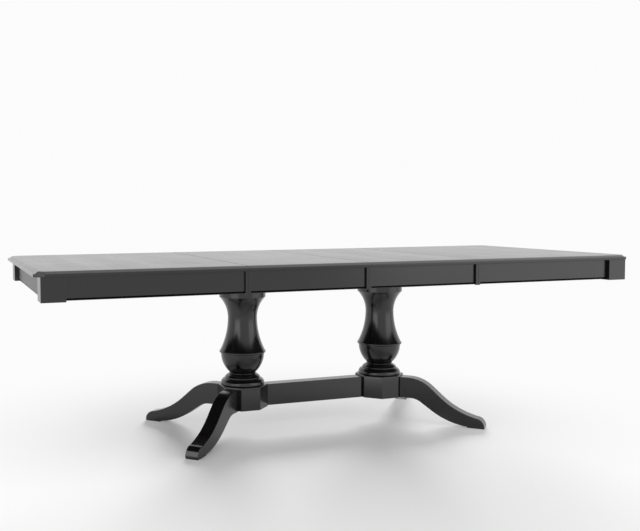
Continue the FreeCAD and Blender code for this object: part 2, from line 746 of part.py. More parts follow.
def end_apron(name, turned):
    inner = "apron_end - apron_thickness"
    step = "apron_bottom + rabbet_height"
    outline = [("apron_end", "underside"), ("apron_end", step), ("apron_end - rabbet_depth", step),
               ("apron_end - rabbet_foot", "apron_bottom"), (inner, "apron_bottom"), (inner, "underside")]
    board = prism(name, "XZ_Plane", outline, "2 * (post_face - post_width)", both_ways=True)
    place(board, turned=turned)
    keep(name, board)


def post(name, sign, turned):
    low = "-post_face" if sign == "-1" else "post_face - post_width"
    keep(name, box(name, ("post_end - post_width", "post_end"), (low, f"{low} + post_width"),
                   ("post_bottom", "underside"), turned))


def seam_blocks(name, starts, top, turned):
    # Proud blocks on the front and back aprons, each starting at one of the given places
    blocks = []
    for start in starts:
        for low in ("-block_face", "apron_face"):
            blocks.append(box("block", (start, f"{start} + block_width"), (low, f"{low} + block_proud"),
                              ("block_bottom", top), turned))
    keep(name, group(name, blocks))


def cleats(name, start, end, top, turned, closed):
    # Square strips in the corner between each apron and the slab
    low = f"{top} - cleat_side"
    strips = [box("cleat", (start, end), (y, f"{y} + cleat_side"), (low, top), turned)
              for y in ("-apron_inner", "apron_inner - cleat_side")]
    if closed:
        outer = "apron_end - apron_thickness"
        reach = "(slide_offset - rail_half - runner_width - cleat_side)"
        strips.append(box("cleat", (f"{outer} - cleat_side", outer), (f"-{reach}", reach), (low, top),
                          turned))
    keep(name, group(name, strips))


def leaf_panel(name, turned):
    border = [("half_width", "leaf_underside"), ("half_width", "lip_level"),
              ("half_width - ledge_width", "lip_level"), ("half_width - bevel_inset", "table_height")]
    outline = border + [(f"-({across})", level) for across, level in border[::-1]]
    slab = prism(name + "_slab", "YZ_Plane", outline, "leaf_far - leaf_near")
    top = number("table_height")
    side = number("half_width - bevel_inset")
    round_edges(slab, "bevel_round", lambda edge: edge.BoundBox.ZMin > top - 0.01
                and abs(edge.BoundBox.YMin) > side - 0.01 and edge.BoundBox.YLength < 0.01)
    bind(slab, "Placement.Base.x", "leaf_near")
    slots = []
    for side in RAIL_SIDES:
        middle = f"{side} * peg_offset"
        half = "(peg_radius + peg_clearance)"
        slots.append(box(name + "_slot", ("seam_edge - peg_reach - peg_clearance", "leaf_far"),
                         (f"{middle} - {half}", f"{middle} + {half}"),
                         ("leaf_underside", f"peg_level + {half}")))
    slotted = cut(name, slab, slots)
    place(slotted, turned=turned)
    keep(name, slotted)


# Base
for side_name, turned in (("right", False), ("left", True)):
    column(f"{side_name}_column", turned)
    hub(f"{side_name}_hub", turned)
    for place_name, angle in (("front", -LEG_ANGLE), ("back", LEG_ANGLE)):
        leg(f"{place_name}_{side_name}_leg", turned, -angle if turned else angle)
    bearer(f"{side_name}_bearer", "-1" if turned else "1")
stretcher()
base_bolts()
foot_pads()
tie_rods()
column_plates()
slide_rail("front_slide_rail", "-1")
slide_rail("back_slide_rail", "1")
rail_screws()
gear_beam()
pinion_axle()
rack_guides()
pinion()

# Halves and leaves: those on the left are the right-hand ones turned half round
for side_name, turned in (("right", False), ("left", True)):
    half_panel(f"{side_name}_top_panel", turned)
    locating_pegs(f"{side_name}_locating_pegs", turned)
    runners(f"{side_name}_runners", turned)
    runner_screws(f"{side_name}_runner_screws", turned)
    rack(f"{side_name}_rack", turned)
    rack_brace(f"{side_name}_rack_brace", turned)
    end_apron(f"{side_name}_end_apron", turned)
    leaf_panel(f"{side_name}_leaf_panel", turned)
    for place_name, sign in sides(turned):
        side_apron(f"{side_name}_{place_name}_apron", sign, "seam_edge", "post_end - post_width", "underside",
                   turned)
        side_apron(f"{side_name}_leaf_{place_name}_apron", sign, "leaf_near", "leaf_far", "leaf_underside",
                   turned)
        post(f"{side_name}_{place_name}_post", sign, turned)
    seam_blocks(f"{side_name}_seam_blocks", ["seam_edge"], "underside", turned)
    seam_blocks(f"{side_name}_leaf_seam_blocks", ["leaf_near", "leaf_far - block_width"], "leaf_underside",
                turned)
    cleats(f"{side_name}_apron_cleats", "seam_edge", "post_end - post_width", "underside", turned, True)
    cleats(f"{side_name}_leaf_cleats", "leaf_near", "leaf_far", "leaf_underside", turned, False)

doc.recompute()
for item in doc.Objects:
    if "Invalid" in item.State or "Error" in item.State:
        raise RuntimeError(f"{item.Label} failed: {item.State}")
for name, item in pieces.items():
    if item.Shape.isNull() or not item.Shape.isValid() or not item.Shape.Solids:
        raise RuntimeError(f"{name} has no valid solid")

os.makedirs("parts", exist_ok=True)
for name, item in pieces.items():
    item.Shape.exportStep(f"parts/{name}.step")
print(len(pieces), "pieces,", sum(len(item.Shape.Solids) for item in pieces.values()), "solids")
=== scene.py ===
import bpy
import bmesh
import math
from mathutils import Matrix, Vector


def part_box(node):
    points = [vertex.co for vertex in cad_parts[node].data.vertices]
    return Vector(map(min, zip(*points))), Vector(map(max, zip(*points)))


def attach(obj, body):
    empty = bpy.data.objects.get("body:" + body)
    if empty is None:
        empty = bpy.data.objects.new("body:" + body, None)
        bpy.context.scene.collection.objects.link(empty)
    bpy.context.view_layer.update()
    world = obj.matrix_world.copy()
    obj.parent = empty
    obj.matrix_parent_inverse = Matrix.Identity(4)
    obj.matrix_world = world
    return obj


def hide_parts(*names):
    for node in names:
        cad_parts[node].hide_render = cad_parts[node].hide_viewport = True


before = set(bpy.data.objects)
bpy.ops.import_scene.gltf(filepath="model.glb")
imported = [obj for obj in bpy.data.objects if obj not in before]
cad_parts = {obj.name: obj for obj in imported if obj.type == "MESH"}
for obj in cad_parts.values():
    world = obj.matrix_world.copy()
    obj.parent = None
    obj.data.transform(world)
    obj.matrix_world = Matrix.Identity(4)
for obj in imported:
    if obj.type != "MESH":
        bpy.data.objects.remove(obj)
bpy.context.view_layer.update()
print("frame loaded:", len(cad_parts), "CAD nodes")

sides = {"left": -1, "right": 1}  # which way each side lies along X
faces = {"front": -1, "back": 1}  # which way each face lies along Y
tiny = 1e-5
facing = 0.9  # a face looks a way when its normal leans at least this much along it


# Working helpers

def choose(piece):
    bpy.ops.object.select_all(action="DESELECT")
    piece.select_set(True)
    bpy.context.view_layer.objects.active = piece


def editing(piece):
    choose(piece)
    bpy.ops.object.mode_set(mode="EDIT")


def doneEditing():
    bpy.ops.object.mode_set(mode="OBJECT")


def pick(piece, kind, test):
    # select the corners, edges or faces that pass a test, with the piece in edit mode
    bpy.ops.mesh.select_mode(type=kind)
    bpy.ops.mesh.select_all(action="DESELECT")
    mesh = bmesh.from_edit_mesh(piece.data)
    parts = {"VERT": mesh.verts, "EDGE": mesh.edges, "FACE": mesh.faces}[kind]
    for part in parts:
        part.select_set(test(part))
    mesh.select_flush_mode()
    bmesh.update_edit_mesh(piece.data)


def shift(piece, test, way):
    # move the corners that pass a test
    pick(piece, "VERT", test)
    bpy.ops.transform.translate(value=way)


def pull(piece, test, way):
    # pull the faces that pass a test out into new walls
    pick(piece, "FACE", test)
    bpy.ops.mesh.extrude_region_move(TRANSFORM_OT_translate={"value": way})


def block(low, high):
    low = Vector(low)
    high = Vector(high)
    bpy.ops.object.select_all(action="DESELECT")
    bpy.ops.mesh.primitive_cube_add(size=1, location=(low + high) / 2, scale=high - low)
    bpy.ops.object.transform_apply(location=True, rotation=True, scale=True)
    return bpy.context.active_object


def trace(points):
    # draw a closed line through points by extruding one corner from each to the next
    bpy.ops.object.select_all(action="DESELECT")
    bpy.ops.mesh.primitive_plane_add(size=1, location=points[0])
    bpy.ops.object.transform_apply(location=True, rotation=True, scale=True)
    outline = bpy.context.active_object
    editing(outline)
    bpy.ops.mesh.select_mode(type="VERT")
    bpy.ops.mesh.select_all(action="SELECT")
    bpy.ops.mesh.merge(type="CENTER")
    for start, end in zip(points, points[1:] + points[:1]):
        way = Vector(end) - Vector(start)
        bpy.ops.mesh.extrude_vertices_move(TRANSFORM_OT_translate={"value": way})
    bpy.ops.mesh.select_all(action="SELECT")
    bpy.ops.mesh.remove_doubles(threshold=tiny)
    return outline


def carve(piece, cutter):
    # take the cutter's shape out of the piece
    choose(piece)
    cutting = piece.modifiers.new("carving", "BOOLEAN")
    cutting.operation = "DIFFERENCE"
    cutting.solver = "EXACT"
    cutting.object = cutter
    bpy.ops.object.modifier_apply(modifier=cutting.name)
    choose(cutter)
    bpy.ops.object.delete()


def soften(piece, width, segments=3, sharpest=35):
    # round every arris a little, and keep the flats flat
    choose(piece)
    bpy.ops.object.shade_smooth()
    rounding = piece.modifiers.new("arris", "BEVEL")
    rounding.width = width
    rounding.segments = segments
    rounding.limit_method = "ANGLE"
    rounding.angle_limit = math.radians(sharpest)
    rounding.harden_normals = True
    bpy.ops.object.modifier_apply(modifier=rounding.name)


def together(pieces):
    bpy.ops.object.select_all(action="DESELECT")
    for piece in pieces:
        piece.select_set(True)
    bpy.context.view_layer.objects.active = pieces[0]
    bpy.ops.object.join()
    return bpy.context.active_object


def finish(piece, name, body, material, node):
    piece.name = name
    piece.data.name = name
    piece.data.materials.clear()
    piece.data.materials.append(material)
    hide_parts(node)
    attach(piece, body)


# Finishes

def newGroup(name, inputs, outputs):
    group = bpy.data.node_groups.new(name, "ShaderNodeTree")
    for label, kind, value in inputs:
        socket = group.interface.new_socket(label, in_out="INPUT", socket_type=kind)
        if value is not None:
            socket.default_value = value
    for label, kind in outputs:
        group.interface.new_socket(label, in_out="OUTPUT", socket_type=kind)
    return group, group.nodes.new("NodeGroupInput"), group.nodes.new("NodeGroupOutput")


def addNode(tree, kind, **settings):
    node = tree.nodes.new(kind)
    for key, value in settings.items():
        setattr(node, key, value)
    return node


def feed(tree, socket, value):
    # link a socket to another node's output, or set it to a plain value
    if isinstance(value, bpy.types.NodeSocket):
        tree.links.new(value, socket)
    else:
        socket.default_value = value


def addMath(tree, operation, first, second):
    node = addNode(tree, "ShaderNodeMath", operation=operation)
    for socket, value in zip(node.inputs, (first, second)):
        feed(tree, socket, value)
    return node.outputs[0]


def addRange(tree, value, fromLow, fromHigh, toLow, toHigh):
    node = addNode(tree, "ShaderNodeMapRange")
    settings = {"Value": value, "From Min": fromLow, "From Max": fromHigh, "To Min": toLow, "To Max": toHigh}
    for label, amount in settings.items():
        feed(tree, node.inputs[label], amount)
    return node.outputs["Result"]


mixSockets = {"share": 0, "dark": 6, "light": 7, "colour": 2}  # where a mix node keeps its colour sockets


def addColourMix(tree, share, dark, light):
    node = addNode(tree, "ShaderNodeMix", data_type="RGBA")
    for label, value in (("share", share), ("dark", dark), ("light", light)):
        feed(tree, node.inputs[mixSockets[label]], value)
    return node.outputs[mixSockets["colour"]]


def addNoise(tree, vector, scale, detail, roughness=0.5):
    node = addNode(tree, "ShaderNodeTexNoise")
    tree.links.new(vector, node.inputs["Vector"])
    node.inputs["Scale"].default_value = scale
    node.inputs["Detail"].default_value = detail
    node.inputs["Roughness"].default_value = roughness
    return node.outputs["Fac"]


# scales are along and across the grain
grainShape = {"streakScale": (2.2, 42), "streakDetail": 5, "streakRoughness": 0.6,
              "poreScale": (28, 620), "poreDetail": 2, "poreRange": (0.52, 0.68), "staveWidth": 0.1}


def grainGroup():
    # wood grain along X: long streaks, short pores and a slow drift from stave to stave
    group, start, end = newGroup(
        "woodGrain",
        [("Vector", "NodeSocketVector", None), ("Stave Width", "NodeSocketFloat", grainShape["staveWidth"])],
        [("Streak", "NodeSocketFloat"), ("Pores", "NodeSocketFloat"), ("Stave", "NodeSocketFloat")])
    vector = start.outputs["Vector"]

    def stretched(along, across):
        scaling = addNode(group, "ShaderNodeVectorMath", operation="MULTIPLY")
        scaling.inputs[1].default_value = (along, across, across)
        group.links.new(vector, scaling.inputs[0])
        return scaling.outputs[0]

    streak = addNoise(group, stretched(*grainShape["streakScale"]), 1, grainShape["streakDetail"],
                      grainShape["streakRoughness"])
    group.links.new(streak, end.inputs["Streak"])
    pores = addNoise(group, stretched(*grainShape["poreScale"]), 1, grainShape["poreDetail"])
    group.links.new(addRange(group, pores, *grainShape["poreRange"], 0, 1), end.inputs["Pores"])
    split = addNode(group, "ShaderNodeSeparateXYZ")
    group.links.new(vector, split.inputs[0])
    stave = addMath(group, "DIVIDE", split.outputs["Y"], start.outputs["Stave Width"])
    number = addMath(group, "FLOOR", stave, 0)
    chance = addNode(group, "ShaderNodeTexWhiteNoise", noise_dimensions="1D")
    group.links.new(number, chance.inputs["W"])
    group.links.new(chance.outputs["Value"], end.inputs["Stave"])
    return group


lacquerShape = {"dark": (0.0012, 0.0012, 0.0013, 1), "light": (0.0034, 0.0033, 0.0033, 1),
                "streakShare": 0.4, "staveShare": 0.15, "hazeShare": 0.4, "hazeScale": 7, "hazeDetail": 3,
                "sheenRange": (0.25, 0.85), "poreHeight": -0.6, "bumpStrength": 0.12, "bumpDepth": 0.0004}


def lacquerGroup(grain):
    # black lacquer over wood: the grain shows through in tone, sheen and a slight relief
    group, start, end = newGroup(
        "lacquerOnGrain",
        [("Vector", "NodeSocketVector", None), ("Stave Width", "NodeSocketFloat", None),
         ("Sheen Low", "NodeSocketFloat", None), ("Sheen High", "NodeSocketFloat", None)],
        [("Color", "NodeSocketColor"), ("Roughness", "NodeSocketFloat"), ("Height", "NodeSocketFloat")])
    wood = addNode(group, "ShaderNodeGroup", node_tree=grain)
    for label in ("Vector", "Stave Width"):
        group.links.new(start.outputs[label], wood.inputs[label])
    tone = addColourMix(group, wood.outputs["Streak"], lacquerShape["dark"], lacquerShape["light"])
    group.links.new(tone, end.inputs["Color"])
    haze = addNoise(group, start.outputs["Vector"], lacquerShape["hazeScale"], lacquerShape["hazeDetail"])
    streak = addMath(group, "MULTIPLY", wood.outputs["Streak"], lacquerShape["streakShare"])
    drift = addMath(group, "MULTIPLY", wood.outputs["Stave"], lacquerShape["staveShare"])
    cloud = addMath(group, "MULTIPLY", haze, lacquerShape["hazeShare"])
    sheen = addMath(group, "ADD", addMath(group, "ADD", streak, drift), cloud)
    rough = addRange(group, sheen, *lacquerShape["sheenRange"], start.outputs["Sheen Low"],
                     start.outputs["Sheen High"])
    group.links.new(rough, end.inputs["Roughness"])
    relief = addMath(group, "MULTIPLY", wood.outputs["Pores"], lacquerShape["poreHeight"])
    group.links.new(addMath(group, "ADD", relief, wood.outputs["Streak"]), end.inputs["Height"])
    return group


def newMaterial(name):
    material = bpy.data.materials.new(name)
    material.use_nodes = True
    tree = material.node_tree
    return material, tree, tree.nodes["Principled BSDF"]


def grainCoordinates(tree, turn):
    # object coordinates, turned so that X runs along the grain
    place = addNode(tree, "ShaderNodeTexCoord")
    mapping = addNode(tree, "ShaderNodeMapping")
    mapping.inputs["Rotation"].default_value = [math.radians(angle) for angle in turn]
    tree.links.new(place.outputs["Object"], mapping.inputs["Vector"])
    return mapping.outputs["Vector"]


def addBump(tree, shader, height, strength, distance):
    bump = addNode(tree, "ShaderNodeBump")
    bump.inputs["Strength"].default_value = strength
    bump.inputs["Distance"].default_value = distance
    tree.links.new(height, bump.inputs["Height"])
    tree.links.new(bump.outputs["Normal"], shader.inputs["Normal"])


grain = grainGroup()
lacquer = lacquerGroup(grain)


def blackLacquer(name, turn, sheen, shine=0.6, staveWidth=1):
    # sheen is the least and the most roughness, staveWidth the width of the glued staves
    material, tree, shader = newMaterial(name)
    coat = addNode(tree, "ShaderNodeGroup", node_tree=lacquer)
    tree.links.new(grainCoordinates(tree, turn), coat.inputs["Vector"])
    coat.inputs["Stave Width"].default_value = staveWidth
    coat.inputs["Sheen Low"].default_value, coat.inputs["Sheen High"].default_value = sheen
    tree.links.new(coat.outputs["Color"], shader.inputs["Base Color"])
    tree.links.new(coat.outputs["Roughness"], shader.inputs["Roughness"])
    shader.inputs["Specular IOR Level"].default_value = shine
    addBump(tree, shader, coat.outputs["Height"], lacquerShape["bumpStrength"], lacquerShape["bumpDepth"])
    return material


stainShape = {"roughness": (0.5, 0.7), "bumpStrength": 0.3, "bumpDepth": 0.0005}


def stainedWood(name, turn, dark, light, shine=0.5):
    material, tree, shader = newMaterial(name)
    wood = addNode(tree, "ShaderNodeGroup", node_tree=grain)
    tree.links.new(grainCoordinates(tree, turn), wood.inputs["Vector"])
    tone = addColourMix(tree, wood.outputs["Streak"], dark, light)
    tree.links.new(tone, shader.inputs["Base Color"])
    rough = addRange(tree, wood.outputs["Pores"], 0, 1, *stainShape["roughness"])
    tree.links.new(rough, shader.inputs["Roughness"])
    shader.inputs["Specular IOR Level"].default_value = shine
    relief = addMath(tree, "MULTIPLY", wood.outputs["Pores"], -1)
    addBump(tree, shader, relief, stainShape["bumpStrength"], stainShape["bumpDepth"])
    return material


noiseSpan = (0.3, 0.7)  # where most of a noise's values lie
zincShape = {"scale": 260, "detail": 4, "noiseRoughness": 0.6, "dark": (0.42, 0.43, 0.45, 1),
             "light": (0.62, 0.62, 0.61, 1), "roughness": (0.28, 0.42)}


def zincSteel():
    material, tree, shader = newMaterial("zincSteel")
    place = addNode(tree, "ShaderNodeTexCoord")
    cloud = addNoise(tree, place.outputs["Object"], zincShape["scale"], zincShape["detail"],
                     zincShape["noiseRoughness"])
    tone = addColourMix(tree, cloud, zincShape["dark"], zincShape["light"])
    tree.links.new(tone, shader.inputs["Base Color"])
    rough = addRange(tree, cloud, *noiseSpan, *zincShape["roughness"])
    tree.links.new(rough, shader.inputs["Roughness"])
    shader.inputs["Metallic"].default_value = 1
    return material


plasticShape = {"scale": 900, "detail": 2, "dark": (0.012, 0.012, 0.012, 1), "light": (0.03, 0.03, 0.03, 1),
                "roughness": (0.6, 0.8), "bumpStrength": 0.4, "bumpDepth": 0.0003}


def padPlastic():
    material, tree, shader = newMaterial("padPlastic")
    place = addNode(tree, "ShaderNodeTexCoord")
    speck = addNoise(tree, place.outputs["Object"], plasticShape["scale"], plasticShape["detail"])
    tone = addColourMix(tree, speck, plasticShape["dark"], plasticShape["light"])
    tree.links.new(tone, shader.inputs["Base Color"])
    rough = addRange(tree, speck, *noiseSpan, *plasticShape["roughness"])
    tree.links.new(rough, shader.inputs["Roughness"])
    addBump(tree, shader, speck, plasticShape["bumpStrength"], plasticShape["bumpDepth"])
    return material


# which way the grain runs, as turns in degrees about X, Y and Z
lengthwise = (0, 0, 0)
crosswise = (0, 0, 90)
upright = (0, 90, 0)
baseSheen = (0.14, 0.2)
legShine = 0.65
topLacquer = blackLacquer("topLacquer", crosswise, (0.18, 0.26), staveWidth=0.09)
railLacquer = blackLacquer("railLacquer", lengthwise, (0.2, 0.28))
endLacquer = blackLacquer("endLacquer", crosswise, (0.34, 0.42))
postLacquer = blackLacquer("postLacquer", upright, (0.2, 0.28))
columnLacquer = blackLacquer("columnLacquer", upright, (0.17, 0.24))
hubLacquer = blackLacquer("hubLacquer", upright, baseSheen, legShine)
stretcherLacquer = blackLacquer("stretcherLacquer", lengthwise, baseSheen, shine=0.8)
seamDark = (0.006, 0.006, 0.006, 1)
seamLight = (0.012, 0.012, 0.012, 1)
seamStain = stainedWood("seamStain", crosswise, seamDark, seamLight, shine=0.15)
stainDark = (0.034, 0.023, 0.016, 1)
stainLight = (0.068, 0.048, 0.034, 1)
stainedLengthwise = stainedWood("stainedLengthwise", lengthwise, stainDark, stainLight)
stainedCrosswise = stainedWood("stainedCrosswise", crosswise, stainDark, stainLight)
steel = zincSteel()
padBlack = padPlastic()
print("finishes ready:", len(bpy.data.materials), "materials")


# Top: two halves with a stepped, rounded rim and clipped corners, and two leaves

topShape = {"rise": 0.0085, "ledge": 0.008, "bevelWidth": 0.010, "bevelRound": 0.014, "roundSteps": 7,
            "cornerClip": 0.035, "clipAngle": math.radians(45), "lowerRound": 0.002, "seamRound": 0.0018,
            "arris": 0.0007, "arrisSteps": 2, "arrisAngle": 15, "flatArea": 0.1}


def drawIn(piece, width, way=0):
    # draw a new storey's side edges inward, and its end edges too where the panel has an end
    corners = [corner for corner in bmesh.from_edit_mesh(piece.data).verts if corner.select]
    fresh = {corner.index for corner in corners}
    side = max(corner.co.y for corner in corners)
    seam = min(corner.co.x * way for corner in corners)
    end = max(corner.co.x * way for corner in corners)
    turn = width * math.tan(topShape["clipAngle"] / 2)
    for face in faces.values():
        def onSide(corner):
            return corner.index in fresh and abs(corner.co.y - face * side) < tiny

        def offSeam(corner):
            return onSide(corner) and corner.co.x * way > seam + tiny

        def onEnd(corner):
            return corner.index in fresh and abs(corner.co.x * way - end) < tiny and corner.co.y * face > 0

        if way:
            shift(piece, onEnd, (-way * width, -face * turn, 0))
            shift(piece, offSeam, (-way * turn, 0, 0))
        shift(piece, onSide, (0, -face * width, 0))


def raiseRim(piece, top, way=0):
    # a ledge on the lip, a bevel above it, and a round where the bevel meets the flat
    def flat(face):
        return face.normal.z > facing and face.calc_area() > topShape["flatArea"]

    pull(piece, flat, (0, 0, 0))
    drawIn(piece, topShape["ledge"], way)
    pull(piece, flat, (0, 0, topShape["rise"]))
    drawIn(piece, topShape["bevelWidth"], way)
    slope = math.atan2(topShape["rise"], topShape["bevelWidth"])
    pick(piece, "EDGE", lambda edge: all(corner.co.z > top - tiny for corner in edge.verts)
         and any(tiny < face.normal.z < 1 - tiny for face in edge.link_faces))
    bpy.ops.mesh.bevel(offset=topShape["bevelRound"] * math.tan(slope / 2), offset_type="OFFSET",
                       segments=topShape["roundSteps"], affect="EDGES")


def closeRim(piece, bottom, top, seams):
    # round the lip's lower edge, make each seam face one flat face, and ease its upper edge
    def onSeam(part):
        return any(all(abs(corner.co.x - seam) < tiny for corner in part.verts) for seam in seams)

    pick(piece, "EDGE", lambda edge: all(corner.co.z < bottom + tiny for corner in edge.verts)
         and not onSeam(edge))
    bpy.ops.mesh.bevel(offset=topShape["lowerRound"], offset_type="OFFSET",
                       segments=topShape["roundSteps"], affect="EDGES")
    pick(piece, "FACE", onSeam)
    bpy.ops.mesh.dissolve_faces()
    pick(piece, "EDGE", lambda edge: all(corner.co.z > top - tiny for corner in edge.verts)
         and onSeam(edge))
    bpy.ops.mesh.bevel(offset=topShape["seamRound"], offset_type="OFFSET",
                       segments=topShape["roundSteps"], affect="EDGES")


def stainSeams(piece, seams):
    # the edges that meet at a seam are stained but not lacquered
    piece.data.materials.append(seamStain)
    for face in piece.data.polygons:
        if any(abs(face.center.x - seam) < topShape["seamRound"] for seam in seams):
            face.material_index = 1


def makeHalfTop(side):
    way = sides[side]
    node = f"{side}_top_panel"
    low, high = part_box(node)
    piece = block(low, (high.x, high.y, high.z - topShape["rise"]))
    end = high.x if way > 0 else low.x
    editing(piece)
    pick(piece, "EDGE", lambda edge: all(abs(corner.co.x - end) < tiny for corner in edge.verts)
         and abs(edge.verts[0].co.y - edge.verts[1].co.y) < tiny)
    bpy.ops.mesh.bevel(offset=topShape["cornerClip"], offset_type="OFFSET", segments=1, affect="EDGES")
    raiseRim(piece, high.z, way)
    seams = [low.x if way > 0 else high.x]
    closeRim(piece, low.z, high.z, seams)
    doneEditing()
    soften(piece, topShape["arris"], topShape["arrisSteps"], topShape["arrisAngle"])
    finish(piece, f"{side}TopPanel", f"{side}_half", topLacquer, node)
    stainSeams(piece, seams)


# slots for the locating pegs, open below and at the seam; the cutter reaches out past both
leafShape = {"slotLength": 0.0184, "slotHalf": 0.0054, "slotTop": 0.0151, "slotOffset": 0.33,
             "cutterMargin": 0.01}


def makeLeafTop(side):
    way = sides[side]
    node = f"{side}_leaf_panel"
    low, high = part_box(node)
    piece = block(low, (high.x, high.y, high.z - topShape["rise"]))
    editing(piece)
    raiseRim(piece, high.z)
    closeRim(piece, low.z, high.z, [low.x, high.x])
    doneEditing()
    soften(piece, topShape["arris"], topShape["arrisSteps"], topShape["arrisAngle"])
    seam = high.x if way > 0 else low.x
    margin = leafShape["cutterMargin"]
    reach = (seam - way * leafShape["slotLength"], seam + way * margin)
    for face in faces.values():
        middle = face * leafShape["slotOffset"]
        carve(piece, block((min(reach), middle - leafShape["slotHalf"], low.z - margin),
                           (max(reach), middle + leafShape["slotHalf"], low.z + leafShape["slotTop"])))
    finish(piece, f"{side}LeafPanel", f"{side}_leaf", topLacquer, node)
    stainSeams(piece, [low.x, high.x])


for side in sides:
    makeHalfTop(side)
    makeLeafTop(side)
print("top panels made")


# Aprons: boards with an undercut strip along the lower edge, corner posts and seam blocks

apronShape = {"stripHeight": 0.008, "stripDepth": 0.008, "footDepth": 0.002, "arris": 0.0008}


def makeApron(node, name, body, outward, material):
    # outward is the way the show face looks: along Y for a side, along X for an end
    low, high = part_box(node)
    outward = Vector(outward)
    setBack = apronShape["stripDepth"]
    thinLow = Vector(low)
    thinHigh = Vector(high)
    for axis in range(2):
        if outward[axis] > 0:
            thinHigh[axis] -= setBack
        elif outward[axis] < 0:
            thinLow[axis] += setBack
    piece = block(thinLow, thinHigh)
    stripTop = low.z + apronShape["stripHeight"]
    editing(piece)
    bpy.ops.mesh.select_all(action="SELECT")
    bpy.ops.mesh.bisect(plane_co=(0, 0, stripTop), plane_no=(0, 0, 1))
    pull(piece, lambda face: face.normal.dot(outward) > facing and face.calc_center_median().z > stripTop,
         outward * setBack)
    thinFace = max(thinLow.dot(outward), thinHigh.dot(outward))
    shift(piece, lambda corner: corner.co.z < low.z + tiny and corner.co.dot(outward) > thinFace - tiny,
          outward * (setBack - apronShape["footDepth"]))
    doneEditing()
    soften(piece, apronShape["arris"], segments=2)
    finish(piece, name, body, material, node)


postShape = {"arris": 0.001}
seamShape = {"arris": 0.0008}


def looseBoxes(node):
    # the corners of each separate block in a CAD node
    mesh = bmesh.new()
    mesh.from_mesh(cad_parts[node].data)
    bmesh.ops.remove_doubles(mesh, verts=mesh.verts, dist=tiny)
    left = set(mesh.verts)
    boxes = []
    while left:
        found = {left.pop()}
        edge = set(found)
        while edge:
            edge = {link.other_vert(corner) for corner in edge for link in corner.link_edges} - found
            found |= edge
        left -= found
        boxes.append([[ends(corner.co[axis] for corner in found) for axis in range(3)]
                      for ends in (min, max)])
    mesh.free()
    return sorted(boxes)


def makeSeamBlocks(node, name, body):
    blocks = []
    for low, high in looseBoxes(node):
        piece = block(low, high)
        soften(piece, seamShape["arris"], segments=2)
        blocks.append(piece)
    finish(together(blocks), name, body, postLacquer, node)


for side, way in sides.items():
    half = f"{side}_half"
    leaf = f"{side}_leaf"
    makeApron(f"{side}_end_apron", f"{side}EndApron", half, (way, 0, 0), endLacquer)
    for face, look in faces.items():
        title = face.capitalize()
        makeApron(f"{side}_{face}_apron", f"{side}{title}Apron", half, (0, look, 0), railLacquer)
        makeApron(f"{side}_leaf_{face}_apron", f"{side}Leaf{title}Apron", leaf, (0, look, 0), railLacquer)
        post = block(*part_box(f"{side}_{face}_post"))
        soften(post, postShape["arris"])
        finish(post, f"{side}{title}Post", half, postLacquer, f"{side}_{face}_post")
    makeSeamBlocks(f"{side}_seam_blocks", f"{side}SeamBlocks", half)
    makeSeamBlocks(f"{side}_leaf_seam_blocks", f"{side}LeafSeamBlocks", leaf)
print("aprons, posts and seam blocks made")


# Columns: one turned profile each

columnShape = {
    "bore": 0.008, "foot": 0.209, "top": 0.624, "arris": 0.0008, "arrisAngle": 32, "steps": 96,
    "bead": 0.058, "beadHeight": 0.005, "bowlFoot": 0.056, "bowl": 0.0945, "bowlHeight": 0.086,
    "rim": 0.101, "rimHeight": 0.009, "rimFlare": 0.003, "rimLedge": 0.002,
    "waist": 0.0635, "waistShare": 0.614, "flangeHeight": 0.033,
}
# rings at the foot: edge is the round below the band, and the shoulder's arc is centred a drop below its bend
columnRings = (
    {"radius": 0.095, "height": 0.027, "edge": 0.003, "band": 0.009, "shoulder": 0.018, "drop": 0.004},
    {"radius": 0.077, "height": 0.019, "edge": 0.0015, "band": 0.0058, "shoulder": 0.0175, "drop": 0.030},
)
arcSteps = {"edge": 5, "shoulder": 10, "bead": 8, "bowl": 14, "vase": 22, "neck": 18}
leftTurn = 1
rightTurn = -1


def arc(start, end, centre, count, turn):
    # points on a round stretch between two points of a profile
    angles = [math.atan2(point[1] - centre[1], point[0] - centre[0]) for point in (start, end)]
    sweep = (angles[1] - angles[0]) * turn % (2 * math.pi) * turn
    radius = math.dist(start, centre)
    return [(centre[0] + radius * math.cos(angles[0] + sweep * step / count),
             centre[1] + radius * math.sin(angles[0] + sweep * step / count)) for step in range(count + 1)]


def levelArc(start, end, level, count, turn):
    # a round stretch whose centre is at a given height
    middle = ((start[0] + end[0]) / 2, (start[1] + end[1]) / 2)
    radius = middle[0] - (level - middle[1]) * (end[1] - start[1]) / (end[0] - start[0])
    return arc(start, end, (radius, level), count, turn)


